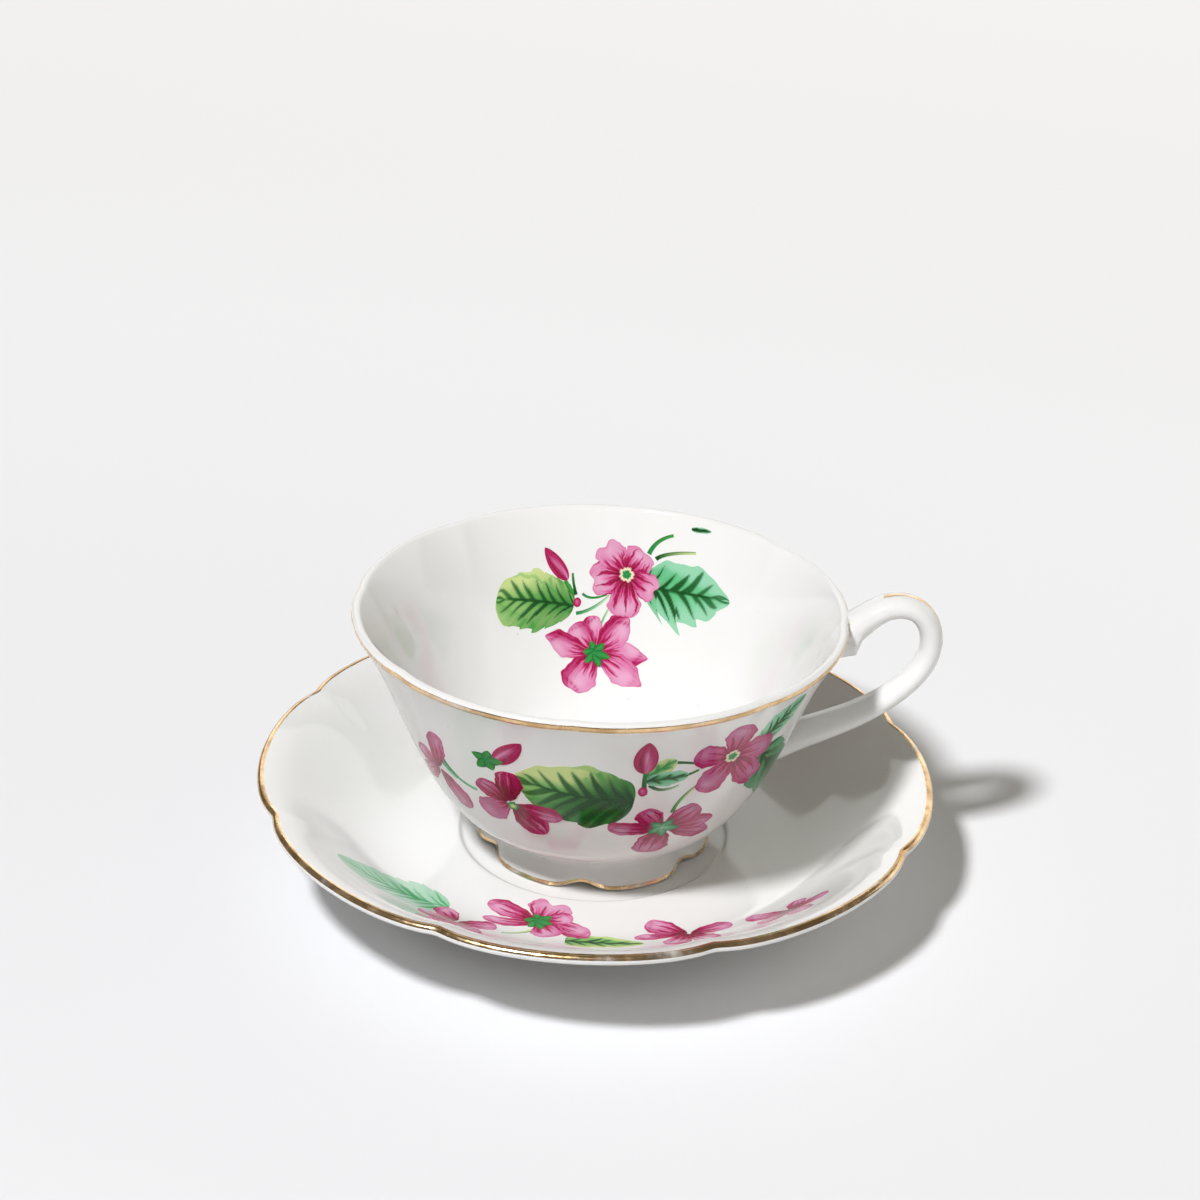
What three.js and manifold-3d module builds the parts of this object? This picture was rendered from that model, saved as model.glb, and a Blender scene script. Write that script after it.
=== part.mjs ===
// Porcelain tea cup on its saucer: scalloped rims, a scalloped pedestal foot, a strap handle and
// burnished gold lines. Millimetres, +Z up. The origin is the middle of the saucer's foot ring, on
// the table, and the handle points along +X.

import * as THREE from 'three';
import { mergeVertices } from 'three/addons/utils/BufferGeometryUtils.js';
import Module from 'manifold-3d';

const wasm = await Module();
wasm.setup();

// ---- driving dimensions ----------------------------------------------------------------------

const SEGMENTS = 72; // facets round every turned piece, so every cusp falls on a facet's edge

const saucer = {
  rimRadius: 70.2,
  height: 22.5,
  seatRadius: 25, // the sunk middle that the cup stands in
  seatHeight: 7.0,
  ledgeRadius: 29, // a flat ring round the seat, from here to wellRadius
  ledgeHeight: 7.8,
  wellRadius: 38,
  wellThickness: 3.0,
  steepRadius: 59.5, // where the wall is steepest; it flares from here to the rim
  steepHeight: 17.0,
  steepSlope: THREE.MathUtils.degToRad(37),
  rimThickness: 2.0,
  rimSlope: THREE.MathUtils.degToRad(15),
  ringRadius: 36.5, // middle of the foot ring
  ringWidth: 4.4, // where it meets the underside
  ringFlat: 2.0, // where it rests on the table
  ringBevel: 0.4,
};

const cup = {
  rimRadius: 50.2,
  height: 52.2,
  seatGap: 0.05,
  shoulderRadius: 40.1, // where the rounded belly meets the flared wall
  shoulderHeight: 29.2,
  hipRadius: 22,
  footHeight: 7.2,
  footTopRadius: 21.6,
  footWall: 3.2,
  footRadius: 24.3,
  footFlat: 1.5, // width of the edge that stands on the saucer
  footBevel: 0.45,
  floorThickness: 2.8,
  rimThickness: 2.0,
};

const handle = {
  width: 6.8,
  thickness: 4.6,
  rootWidth: 8.8,
  rootThickness: 6.8,
  tailWidth: 8.8,
  tailThickness: 6.0,
  jointGap: 0.3, // clearance to the bowl where the strap is stuck on
};

const gold = {
  gap: 0.04,
  film: 0.14,
  strokeWidth: 1.8,
  strokeStart: 9, // steps along the handle
  strokeEnd: 22,
  strokeTaper: 0.6, // part of its width that it loses on the way
};

// Inward cusps round each edge: how many, the angle of the first, how deep and how wide.
const saucerScallop = { count: 8, first: 20, depth: 1.5, spread: 4.2, cusp: 1 };
const cupScallop = { count: 8, first: -5, depth: 0.45, spread: 4.0, cusp: 1 };
const footScallop = { count: 6, first: -35, depth: 2.2, spread: 9.0, cusp: 2 };
const footArch = 0.7; // how far the foot's edge lifts off the saucer at each cusp

const colours = { porcelain: 0xf1f0ea, gilding: 0xb8873a };

// ---- materials -------------------------------------------------------------------------------

const porcelain = new THREE.MeshStandardMaterial({
  color: colours.porcelain,
  roughness: 0.12,
  metalness: 0,
});

const gilding = new THREE.MeshStandardMaterial({
  color: colours.gilding,
  roughness: 0.3,
  metalness: 1,
});

// ---- profile helpers: a profile is a list of (radius, height) points -------------------------

const at = (radius, height) => new THREE.Vector2(radius, height);

function curve(start, startPull, endPull, end, divisions) {
  return new THREE.CubicBezierCurve(start, startPull, endPull, end).getPoints(divisions);
}

// Unit vector to the right of the line's direction at point i, which is out of the material.
function outwardAt(line, i) {
  const before = line[Math.max(i - 1, 0)];
  const after = line[Math.min(i + 1, line.length - 1)];
  const along = after.clone().sub(before).normalize();
  return at(along.y, -along.x);
}

// The line moved out of the material by a distance that runs evenly from first to last.
function offset(line, first, last = first) {
  return line.map((point, i) => {
    const distance = THREE.MathUtils.lerp(first, last, i / (line.length - 1));
    return point.clone().addScaledVector(outwardAt(line, i), distance);
  });
}

// Height of a line that climbs outward, at a radius.
function heightAt(line, radius) {
  const i = line.findIndex((point) => point.x > radius);
  const part = (radius - line[i - 1].x) / (line[i].x - line[i - 1].x);
  return THREE.MathUtils.lerp(line[i - 1].y, line[i].y, part);
}

// Half circle from one wall's end to the other's, turning anticlockwise round the rim.
function roundOver(from, to, divisions) {
  const centre = from.clone().lerp(to, 0.5);
  const arm = from.clone().sub(centre);
  const points = [];
  for (let i = 1; i < divisions; i += 1) {
    points.push(centre.clone().add(arm.clone().rotateAround(at(0, 0), (Math.PI * i) / divisions)));
  }
  return points;
}

// Closed loop for a thin film lying just off the surface that the line follows.
function filmOver(line) {
  const outer = offset(line, gold.gap + gold.film);
  const inner = offset(line, gold.gap).reverse();
  return [...outer, ...inner, outer[0].clone()];
}

// ---- solid helpers ---------------------------------------------------------------------------

// Shared vertices merged and triangles without area dropped, as a closed body needs.
function closedMesh(geometry) {
  geometry.deleteAttribute('normal');
  geometry.deleteAttribute('uv');
  const merged = mergeVertices(geometry, 1e-4);
  const corners = Array.from(merged.index.array);
  const kept = [];
  for (let i = 0; i < corners.length; i += 3) {
    const [a, b, c] = corners.slice(i, i + 3);
    if (a !== b && b !== c && c !== a) kept.push(a, b, c);
  }
  merged.setIndex(kept);
  return merged;
}

function revolve(profile) {
  return closedMesh(new THREE.LatheGeometry(profile, SEGMENTS).rotateX(Math.PI / 2));
}

// 1 in the middle of a cusp, falling to 0 along the lobes on both sides.
function cuspAt(scallop, degrees) {
  const pitch = 360 / scallop.count;
  const from = THREE.MathUtils.euclideanModulo(degrees - scallop.first + pitch / 2, pitch) - pitch / 2;
  return Math.exp(-((Math.abs(from) / scallop.spread) ** scallop.cusp));
}

// Pulls a turned solid in at its cusps. weight says how strongly at a radius and height, and lift
// is how far the same points rise.
function scalloped(geometry, scallop, weight, lift = 0) {
  const position = geometry.attributes.position;
  for (let i = 0; i < position.count; i += 1) {
    const x = position.getX(i);
    const y = position.getY(i);
    const z = position.getZ(i);
    const radius = Math.hypot(x, y);
    const degrees = THREE.MathUtils.radToDeg(Math.atan2(y, x));
    const pull = cuspAt(scallop, degrees) * weight(radius, z);
    const scale = radius > 0 ? (radius - scallop.depth * pull) / radius : 1;
    position.setXYZ(i, x * scale, y * scale, z + lift * pull);
  }
  return geometry;
}

// Solid through rings of points; every ring is convex and has the same number of points.
function loft(rings) {
  const size = rings[0].length;
  const points = rings.flat();
  const index = [];
  for (let r = 0; r < rings.length - 1; r += 1) {
    for (let k = 0; k < size; k += 1) {
      const a = r * size + k;
      const b = r * size + ((k + 1) % size);
      index.push(a, b, a + size, b, b + size, a + size);
    }
  }
  const last = (rings.length - 1) * size;
  for (let k = 1; k < size - 1; k += 1) {
    index.push(0, k + 1, k);
    index.push(last, last + k, last + k + 1);
  }
  const geometry = new THREE.BufferGeometry().setFromPoints(points);
  geometry.setIndex(index);
  return geometry;
}

function toManifold(geometry) {
  return new wasm.Manifold(
    new wasm.Mesh({
      numProp: 3,
      vertProperties: new Float32Array(geometry.attributes.position.array),
      triVerts: new Uint32Array(geometry.index.array),
    }),
  );
}

function fromManifold(solid) {
  const mesh = solid.getMesh();
  const geometry = new THREE.BufferGeometry();
  geometry.setAttribute('position', new THREE.BufferAttribute(mesh.vertProperties, 3));
  geometry.setIndex(new THREE.BufferAttribute(mesh.triVerts, 1));
  return geometry;
}

// ---- saucer ----------------------------------------------------------------------------------

const SWEEP_PULL = 0.4; // control points stand this part of the span in from each end

// A line that leaves start and reaches end with the given slopes.
function sweep(start, startSlope, end, endSlope, divisions) {
  const pull = (end.x - start.x) * SWEEP_PULL;
  const startPull = at(start.x + pull, start.y + pull * Math.tan(startSlope));
  const endPull = at(end.x - pull, end.y - pull * Math.tan(endSlope));
  return curve(start, startPull, endPull, end, divisions);
}

// From the edge of the seat out to the rim. It ends where the half round of the lip begins, so that
// the lip's outermost point is at the rim's radius and its highest point at the saucer's height.
function saucerTopLine() {
  const half = saucer.rimThickness / 2;
  const seatEdge = at(saucer.seatRadius, saucer.seatHeight);
  const ledge = at(saucer.ledgeRadius, saucer.ledgeHeight);
  const wellEdge = at(saucer.wellRadius, saucer.ledgeHeight);
  const steep = at(saucer.steepRadius, saucer.steepHeight);
  const rimTop = at(
    saucer.rimRadius - half * (1 + Math.sin(saucer.rimSlope)),
    saucer.height - half * (1 - Math.cos(saucer.rimSlope)),
  );
  return [
    ...sweep(seatEdge, 0, ledge, 0, 3),
    ...sweep(wellEdge, 0, steep, saucer.steepSlope, 6),
    ...sweep(steep, saucer.steepSlope, rimTop, saucer.rimSlope, 4).slice(1),
  ];
}

// Cusps are full at the rim and fade out before they reach the well.
function saucerWeight(radius) {
  return THREE.MathUtils.smoothstep(radius, saucer.wellRadius, saucer.rimRadius) ** 3;
}

function saucerOutline() {
  const top = saucerTopLine();
  const under = offset(top, saucer.wellThickness, saucer.rimThickness);
  const lip = roundOver(under.at(-1), top.at(-1), 6);
  return { top, under, lip };
}

// The foot ring stands on the underside, from one of its edges to the other.
function footRing(under) {
  const { ringRadius, ringWidth, ringFlat, ringBevel } = saucer;
  const inside = ringRadius - ringWidth / 2;
  const outside = ringRadius + ringWidth / 2;
  const flatInside = ringRadius - ringFlat / 2;
  const flatOutside = ringRadius + ringFlat / 2;
  return [
    at(inside, heightAt(under, inside)),
    at(flatInside - ringBevel, ringBevel),
    at(flatInside, 0),
    at(flatOutside, 0),
    at(flatOutside + ringBevel, ringBevel),
    at(outside, heightAt(under, outside)),
  ];
}

function saucerDish() {
  const { top, under, lip } = saucerOutline();
  const ring = footRing(under);
  const profile = [
    at(0, saucer.seatHeight - saucer.wellThickness),
    ...under.filter((point) => point.x < ring.at(0).x),
    ...ring,
    ...under.filter((point) => point.x > ring.at(-1).x),
    ...lip,
    ...top.toReversed(),
    at(0, saucer.seatHeight),
  ];
  return scalloped(revolve(profile), saucerScallop, saucerWeight);
}

function saucerRimGilding() {
  const { top, lip } = saucerOutline();
  const crown = [...lip.slice(2), top.at(-1)];
  return scalloped(revolve(filmOver(crown)), saucerScallop, saucerWeight);
}

// ---- cup: heights are above the bottom of its foot ---------------------------------------------

function bowlOuterLine() {
  const hip = at(cup.hipRadius, cup.footHeight);
  const shoulder = at(cup.shoulderRadius, cup.shoulderHeight);
  const rimOuter = at(cup.rimRadius, cup.height - cup.rimThickness / 2);
  return [
    ...curve(hip, at(30.5, 7.8), at(35.2, 17.7), shoulder, 6),
    ...curve(shoulder, at(42.7, 35.6), at(45.6, 44.2), rimOuter, 5).slice(1),
  ];
}

function bowlOutline() {
  const outer = bowlOuterLine();
  const inner = offset(outer, -cup.floorThickness, -cup.rimThickness);
  const lip = roundOver(outer.at(-1), inner.at(-1), 6);
  return { outer, inner, lip };
}

// The rim's cusps fade out down the flared wall.
function bowlWeight(radius, z) {
  return THREE.MathUtils.smoothstep(z, cup.shoulderHeight, cup.height) ** 2;
}

function cupBowl() {
  const { outer, inner, lip } = bowlOutline();
  const profile = [
    at(0, cup.footHeight),
    ...outer,
    ...lip,
    ...inner.toReversed(),
    at(0, cup.footHeight + cup.floorThickness),
  ];
  return scalloped(revolve(profile), cupScallop, bowlWeight);
}

function cupRimGilding() {
  const { outer, lip } = bowlOutline();
  const band = [outer.at(-1).clone().lerp(outer.at(-2), 0.1), outer.at(-1), ...lip.slice(0, 2)];
  return scalloped(revolve(filmOver(band)), cupScallop, bowlWeight);
}

// The foot's cusps are full at its edge and gone at the bowl.
function footWeight(radius, z) {
  return THREE.MathUtils.clamp(1 - z / cup.footHeight, 0, 1) ** 0.8;
}

function footOuterLine() {
  return curve(
    at(cup.footRadius, cup.footBevel),
    at(cup.footRadius - 0.7, 2.4),
    at(cup.footTopRadius, 4.0),
    at(cup.footTopRadius, cup.footHeight - cup.seatGap),
    5,
  );
}

function cupFoot() {
  const { footBevel, footFlat } = cup;
  const top = cup.footHeight - cup.seatGap;
  const inside = cup.footTopRadius - cup.footWall;
  const flatOutside = cup.footRadius - footBevel;
  const flatInside = flatOutside - footFlat;
  const outer = footOuterLine();
  const profile = [
    at(inside, top),
    at(inside + 0.6, top / 2),
    at(flatInside - footBevel, footBevel),
    at(flatInside, 0),
    at(flatOutside, 0),
    ...outer,
    at(inside, top),
  ];
  return scalloped(revolve(profile), footScallop, footWeight, footArch);
}

function cupFootGilding() {
  const edge = footOuterLine().slice(0, 2);
  const band = [edge[0], edge[0].clone().lerp(edge[1], 0.8)];
  return scalloped(revolve(filmOver(band)), footScallop, footWeight, footArch);
}

// ---- handle: a strap in the XZ plane -----------------------------------------------------------

const HANDLE_STEPS = 36;
const SECTION_POINTS = 12;

function handlePath() {
  const segment = (...xz) => {
    const points = [];
    for (let i = 0; i < xz.length; i += 2) points.push(new THREE.Vector3(xz[i], 0, xz[i + 1]));
    return new THREE.CubicBezierCurve3(...points);
  };
  const path = new THREE.CurvePath();
  path.add(segment(46.5, 47.2, 51.5, 48.6, 54.5, 55.3, 60.4, 55.3)); // root up to the crown
  path.add(segment(60.4, 55.3, 64.6, 55.3, 67.2, 51.8, 67.2, 46.8)); // over the outer curve
  path.add(segment(67.2, 46.8, 67.2, 40.0, 58.5, 32.6, 50.5, 28.9)); // back down under the fingers
  path.add(segment(50.5, 28.9, 45.8, 26.7, 41.0, 24.6, 36.0, 22.6)); // tail into the belly
  return path;
}

// Across the strap is Y. out is the strap's outer side, away from the finger hole.
function handleFrame(path, t) {
  const centre = path.getPointAt(t);
  const along = path.getTangentAt(t);
  const out = new THREE.Vector3(-along.z, 0, along.x);
  return { centre, out };
}

// Width and thickness swell towards both ends of the strap.
function handleSize(t) {
  const root = Math.exp(-((t / 0.16) ** 2));
  const tail = Math.exp(-(((1 - t) / 0.22) ** 2));
  const { width, thickness } = handle;
  return {
    width: width + (handle.rootWidth - width) * root + (handle.tailWidth - width) * tail,
    thickness:
      thickness + (handle.rootThickness - thickness) * root + (handle.tailThickness - thickness) * tail,
  };
}

function handleRing(path, t) {
  const { centre, out } = handleFrame(path, t);
  const { width, thickness } = handleSize(t);
  const ring = [];
  for (let k = 0; k < SECTION_POINTS; k += 1) {
    const turn = (2 * Math.PI * k) / SECTION_POINTS;
    const point = centre.clone().addScaledVector(out, (Math.sin(turn) * thickness) / 2);
    point.y += (Math.cos(turn) * width) / 2;
    ring.push(point);
  }
  return ring;
}

function cupHandle() {
  const path = handlePath();
  const rings = [];
  for (let i = 0; i <= HANDLE_STEPS; i += 1) rings.push(handleRing(path, i / HANDLE_STEPS));
  const strap = toManifold(loft(rings));
  const wall = offset(bowlOuterLine(), handle.jointGap);
  const above = cup.height + handle.rootThickness;
  const envelope = revolve([
    at(0, 0),
    at(wall[0].x, 0),
    ...wall,
    at(wall.at(-1).x, above),
    at(0, above),
  ]);
  return fromManifold(strap.subtract(toManifold(envelope)));
}

// A brushed gold line along the strap's spine, from the crown to the bottom of the outer curve.
function cupHandleGilding() {
  const path = handlePath();
  const { strokeStart, strokeEnd } = gold;
  const rings = [];
  for (let i = strokeStart; i <= strokeEnd; i += 1) {
    const { centre, out } = handleFrame(path, i / HANDLE_STEPS);
    const low = handleSize(i / HANDLE_STEPS).thickness / 2 + gold.gap;
    const high = low + gold.film;
    const progress = (i - strokeStart) / (strokeEnd - strokeStart);
    const half = (gold.strokeWidth / 2) * (1 - gold.strokeTaper * progress ** 2);
    const corners = [[half, low], [half, high], [-half, high], [-half, low]];
    rings.push(
      corners.map(([across, up]) => {
        const point = centre.clone().addScaledVector(out, up);
        point.y += across;
        return point;
      }),
    );
  }
  return loft(rings);
}

// ---- assembly --------------------------------------------------------------------------------

function piece(name, geometry, material) {
  const mesh = new THREE.Mesh(geometry, material);
  mesh.name = name;
  return mesh;
}

const saucerGroup = new THREE.Group();
saucerGroup.add(
  piece('saucer_dish', saucerDish(), porcelain),
  piece('saucer_rim_gilding', saucerRimGilding(), gilding),
);

const cupGroup = new THREE.Group();
cupGroup.position.z = saucer.seatHeight + cup.seatGap;
cupGroup.add(
  piece('cup_bowl', cupBowl(), porcelain),
  piece('cup_foot', cupFoot(), porcelain),
  piece('cup_handle', cupHandle(), porcelain),
  piece('cup_rim_gilding', cupRimGilding(), gilding),
  piece('cup_foot_gilding', cupFootGilding(), gilding),
  piece('cup_handle_gilding', cupHandleGilding(), gilding),
);

const teacup = new THREE.Group();
teacup.add(saucerGroup, cupGroup);

export default teacup;
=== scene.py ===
import math
from dataclasses import dataclass

import bmesh
import bpy
import numpy as np
from mathutils import Euler, Matrix, Vector


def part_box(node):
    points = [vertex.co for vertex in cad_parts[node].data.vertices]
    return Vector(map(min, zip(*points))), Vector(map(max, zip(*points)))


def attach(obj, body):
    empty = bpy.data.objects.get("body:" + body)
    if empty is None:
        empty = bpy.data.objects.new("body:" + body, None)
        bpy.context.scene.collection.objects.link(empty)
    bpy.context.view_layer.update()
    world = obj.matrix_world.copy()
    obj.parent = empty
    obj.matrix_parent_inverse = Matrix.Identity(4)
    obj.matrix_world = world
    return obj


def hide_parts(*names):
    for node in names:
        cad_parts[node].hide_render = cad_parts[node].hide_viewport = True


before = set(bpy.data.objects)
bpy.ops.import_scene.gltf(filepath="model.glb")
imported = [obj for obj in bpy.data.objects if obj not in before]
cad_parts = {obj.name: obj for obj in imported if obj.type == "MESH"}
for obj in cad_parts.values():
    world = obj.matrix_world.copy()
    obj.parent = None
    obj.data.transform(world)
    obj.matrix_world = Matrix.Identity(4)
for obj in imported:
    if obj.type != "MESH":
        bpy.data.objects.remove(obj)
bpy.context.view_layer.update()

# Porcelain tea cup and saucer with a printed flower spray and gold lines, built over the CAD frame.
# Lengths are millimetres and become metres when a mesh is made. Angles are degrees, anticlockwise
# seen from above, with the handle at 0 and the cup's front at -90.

MM = 0.001

# ---- driving dimensions ----

SAUCER_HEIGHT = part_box("saucer_dish")[1].z / MM
FOOT_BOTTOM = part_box("cup_foot")[0].z / MM
BOWL_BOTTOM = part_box("cup_bowl")[0].z / MM
BOWL_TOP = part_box("cup_bowl")[1].z / MM

SAUCER_RADIUS = 70.2
SEAT_RADIUS = 27.2  # the sunk middle that the cup stands in
SEAT_HEIGHT = 7.0
LEDGE_RADIUS = 28.9
LEDGE_HEIGHT = 7.8
PRINT_ORIGIN_RADIUS = 25.0  # the saucer's print is laid out from this circle outward
WELL_RADIUS = 38.0
WELL_THICKNESS = 3.0
STEEP = (59.5, 17.0)  # radius and height where the saucer's wall is steepest
STEEP_SLOPE = 37.0
SAUCER_RIM_SLOPE = 15.0
LIP_THICKNESS = 2.0
RING_RADIUS = 36.5
RING_WIDTH = 4.4
RING_FLAT = 2.0
RING_SOFTNESS = 0.3
FLAT_RADIUS = 20.0  # the underside is flat inside this circle

CUP_RADIUS = 50.2
SHOULDER = (40.1, 22.0)  # radius, and height above the bowl's bottom
HIP_RADIUS = 22.0
BOWL_FLOOR = 2.8
FOOT_RADIUS = 24.3
FOOT_TOP_RADIUS = 21.6
FOOT_WALL = 3.2
FOOT_FLAT = 1.5
FOOT_EDGE = 0.45  # how far in the flat stops
FOOT_EDGE_HEIGHT = 0.4
FLOOR_DISH = 0.12  # how far the bowl's floor dips in its middle

SEGMENTS = 360  # one a degree, so every cusp falls on a vertex
CUSP_SOFTENING = 0.7  # degrees that round off the point of a cusp


@dataclass
class Scallop:
    """Inward cusps round an edge: how many, where the first is, how deep and how wide."""

    count: int
    first: float
    depth: float
    spread: float
    pointed: bool = True
    rise: float = 0.0

    def cusp(self, degrees):
        pitch = 360 / self.count
        away = (degrees - self.first + pitch / 2) % pitch - pitch / 2
        if not self.pointed:
            return bell(away, self.spread)
        return np.exp(-(np.hypot(away, CUSP_SOFTENING) - CUSP_SOFTENING) / self.spread)


SAUCER_SCALLOP = Scallop(count=8, first=20, depth=1.5, spread=4.2)
CUP_SCALLOP = Scallop(count=8, first=-5, depth=0.45, spread=4.0)
FOOT_SCALLOP = Scallop(count=6, first=-35, depth=2.2, spread=9.0, pointed=False, rise=0.7)


# ---- lines: arrays of (radius, height) ----

def smoothstep(value, low=0.0, high=1.0):
    t = np.clip((value - low) / (high - low), 0, 1)
    return t * t * (3 - 2 * t)


def bell(value, spread):
    """1 where value is 0, fading to 0 on both sides."""
    return np.exp(-((value / spread) ** 2))


def bezier(start, start_pull, end_pull, end, count):
    t = np.linspace(0, 1, count)[:, None]
    points = [np.asarray(p, float) for p in (start, start_pull, end_pull, end)]
    weights = ((1 - t) ** 3, 3 * (1 - t) ** 2 * t, 3 * (1 - t) * t**2, t**3)
    return sum(w * p for w, p in zip(weights, points))


SWEEP_PULL = 0.4  # how far in a line's pulls stand, as a part of its span


def sweep(start, start_slope, end, end_slope, count):
    """A line that leaves start and reaches end at the given slopes."""
    pull = SWEEP_PULL * (end[0] - start[0])
    start_pull = (start[0] + pull, start[1] + pull * math.tan(math.radians(start_slope)))
    end_pull = (end[0] - pull, end[1] - pull * math.tan(math.radians(end_slope)))
    return bezier(start, start_pull, end_pull, end, count)


def joined(*lines):
    """One line out of several, without the points that repeat."""
    points = np.vstack([np.atleast_2d(line) for line in lines])
    steps = np.hypot(*np.diff(points, axis=0).T)
    return points[np.concatenate([[True], steps > 1e-6])]


def directions(line):
    """Unit vectors along the line, one at each point."""
    along = np.gradient(line, axis=0)
    return along / np.hypot(along[:, 0], along[:, 1])[:, None]


def right_of(line):
    along = directions(line)
    return np.column_stack([along[:, 1], -along[:, 0]])


def offset(line, first, last):
    return line + right_of(line) * np.linspace(first, last, len(line))[:, None]


def half_round(start, end, count=15):
    """Half circle from start to end, turning anticlockwise."""
    centre = (start + end) / 2
    arm = start - centre
    turn = np.linspace(0, math.pi, count)[1:-1, None]
    quarter = np.array([-arm[1], arm[0]])
    return centre + np.cos(turn) * arm + np.sin(turn) * quarter


def softened(points, reach, count=5):
    """The polyline with each inner corner replaced by a short curve."""
    points = np.asarray(points, float)
    pieces = [points[:1]]
    t = np.linspace(0, 1, count)[:, None]
    for before, corner, after in zip(points, points[1:], points[2:]):
        start = corner + (before - corner) * min(reach / math.dist(before, corner), 0.45)
        end = corner + (after - corner) * min(reach / math.dist(after, corner), 0.45)
        pieces.append((1 - t) ** 2 * start + 2 * (1 - t) * t * corner + t**2 * end)
    return np.vstack(pieces + [points[-1:]])


def lengths(line):
    return np.concatenate([[0], np.cumsum(np.hypot(*np.diff(line, axis=0).T))])


class Skin:
    """The surface that a line makes when it turns, with its scallops. s is the length along it."""

    def __init__(self, line, side, scallop, weight):
        self.line = line
        self.s = lengths(line)
        self.out = right_of(line) * side
        self.scallop = scallop
        self.weight = weight

    def radius(self, s):
        return np.interp(s, self.s, self.line[:, 0])

    def points(self, degrees, s, lift=0.0):
        """Points at a turn and a length along the line, lifted off the surface."""
        radius = self.radius(s)
        height = np.interp(s, self.s, self.line[:, 1])
        pull = self.scallop.cusp(degrees) * self.weight(radius, height)
        radius = radius + lift * np.interp(s, self.s, self.out[:, 0]) - self.scallop.depth * pull
        height = height + lift * np.interp(s, self.s, self.out[:, 1]) + self.scallop.rise * pull
        turn = np.radians(degrees)
        return np.stack([radius * np.cos(turn), radius * np.sin(turn), height], axis=-1)


# ---- the outlines of the turned pieces ----

def saucer_weight(radius, height):
    return smoothstep(radius, WELL_RADIUS, SAUCER_RADIUS) ** 3


def saucer_top():
    """From the seat out to where the lip's half round begins."""
    half = LIP_THICKNESS / 2
    slope = math.radians(SAUCER_RIM_SLOPE)
    rim = (SAUCER_RADIUS - half * (1 + math.sin(slope)), SAUCER_HEIGHT - half * (1 - math.cos(slope)))
    return joined(
        np.linspace((PRINT_ORIGIN_RADIUS, SEAT_HEIGHT), (SEAT_RADIUS, SEAT_HEIGHT), 4),
        sweep((SEAT_RADIUS, SEAT_HEIGHT), 0, (LEDGE_RADIUS, LEDGE_HEIGHT), 0, 10),
        np.linspace((LEDGE_RADIUS, LEDGE_HEIGHT), (WELL_RADIUS, LEDGE_HEIGHT), 10),
        sweep((WELL_RADIUS, LEDGE_HEIGHT), 0, STEEP, STEEP_SLOPE, 40),
        sweep(STEEP, STEEP_SLOPE, rim, SAUCER_RIM_SLOPE, 20),
    )


def saucer_under(top):
    """The underside, from the rim back to the axis, with the foot ring on it."""
    under = offset(top, WELL_THICKNESS, LIP_THICKNESS)

    def height(radius):
        return np.interp(radius, under[:, 0], under[:, 1])

    outside, inside = RING_RADIUS + RING_WIDTH / 2, RING_RADIUS - RING_WIDTH / 2
    flat_out, flat_in = RING_RADIUS + RING_FLAT / 2, RING_RADIUS - RING_FLAT / 2
    fillet, floor_start = inside - 2.5, inside - 3.5
    outer = under[under[:, 0] > outside + 1.5][::-1]
    middle = SEAT_HEIGHT - WELL_THICKNESS
    ring = softened(
        [
            outer[-1],
            (outside, height(outside)),
            (flat_out + RING_SOFTNESS, 0),
            (flat_in - RING_SOFTNESS, 0),
            (inside, height(inside)),
            (fillet, height(fillet)),
        ],
        0.8,
    )
    edge = (FLAT_RADIUS, middle)
    floor = np.linspace((floor_start, height(floor_start)), edge, 12)
    return joined(outer, ring, floor, np.linspace(edge, (0, middle), 12))


def saucer_skin():
    top = saucer_top()
    under = offset(top, WELL_THICKNESS, LIP_THICKNESS)
    lip = half_round(under[-1], top[-1])[::-1]
    return Skin(joined(top, lip, under[-3:][::-1]), -1, SAUCER_SCALLOP, saucer_weight)


def bowl_weight(radius, height):
    return smoothstep(height - BOWL_BOTTOM, SHOULDER[1], BOWL_TOP - BOWL_BOTTOM) ** 2


def bowl_outer():
    """The belly and the flared wall above it, from the hip up to the lip."""
    base = np.array([0, BOWL_BOTTOM])
    top = BOWL_TOP - BOWL_BOTTOM
    belly = bezier((HIP_RADIUS, 0), (30.5, 0.6), (35.2, 10.5), SHOULDER, 48)
    wall = bezier(SHOULDER, (42.7, 28.4), (45.6, 37.0), (CUP_RADIUS, top - LIP_THICKNESS / 2), 36)
    return joined(belly, wall) + base


def bowl_skin():
    """One surface: up the outside, over the lip, and down the inside to its own hip."""
    outer = bowl_outer()
    inner = offset(outer, -BOWL_FLOOR, -LIP_THICKNESS)
    line = joined(outer, half_round(outer[-1], inner[-1]), inner[::-1])
    return Skin(line, 1, CUP_SCALLOP, bowl_weight)


def foot_weight(radius, height):
    return np.clip(1 - (height - FOOT_BOTTOM) / (BOWL_BOTTOM - FOOT_BOTTOM), 0, 1) ** 0.8


def foot_outer():
    """Up the outside of the foot, ending in the round that runs out under the bowl."""
    top = BOWL_BOTTOM
    wall = bezier(
        (FOOT_RADIUS, FOOT_BOTTOM + FOOT_EDGE_HEIGHT),
        (FOOT_RADIUS - 0.7, FOOT_BOTTOM + 2.4),
        (FOOT_TOP_RADIUS, FOOT_BOTTOM + 3.6),
        (FOOT_TOP_RADIUS, top - 1.6),
        18,
    )
    flare = bezier(
        (FOOT_TOP_RADIUS, top - 1.6),
        (FOOT_TOP_RADIUS, top - 0.5),
        (FOOT_TOP_RADIUS + 1.0, top - 0.02),
        (FOOT_TOP_RADIUS + 2.6, top + 0.05),
        10,
    )
    return joined(wall, flare)


SAUCER_SKIN = saucer_skin()
BOWL_SKIN = bowl_skin()
OUTER_LENGTH = lengths(bowl_outer())[-1]


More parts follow.
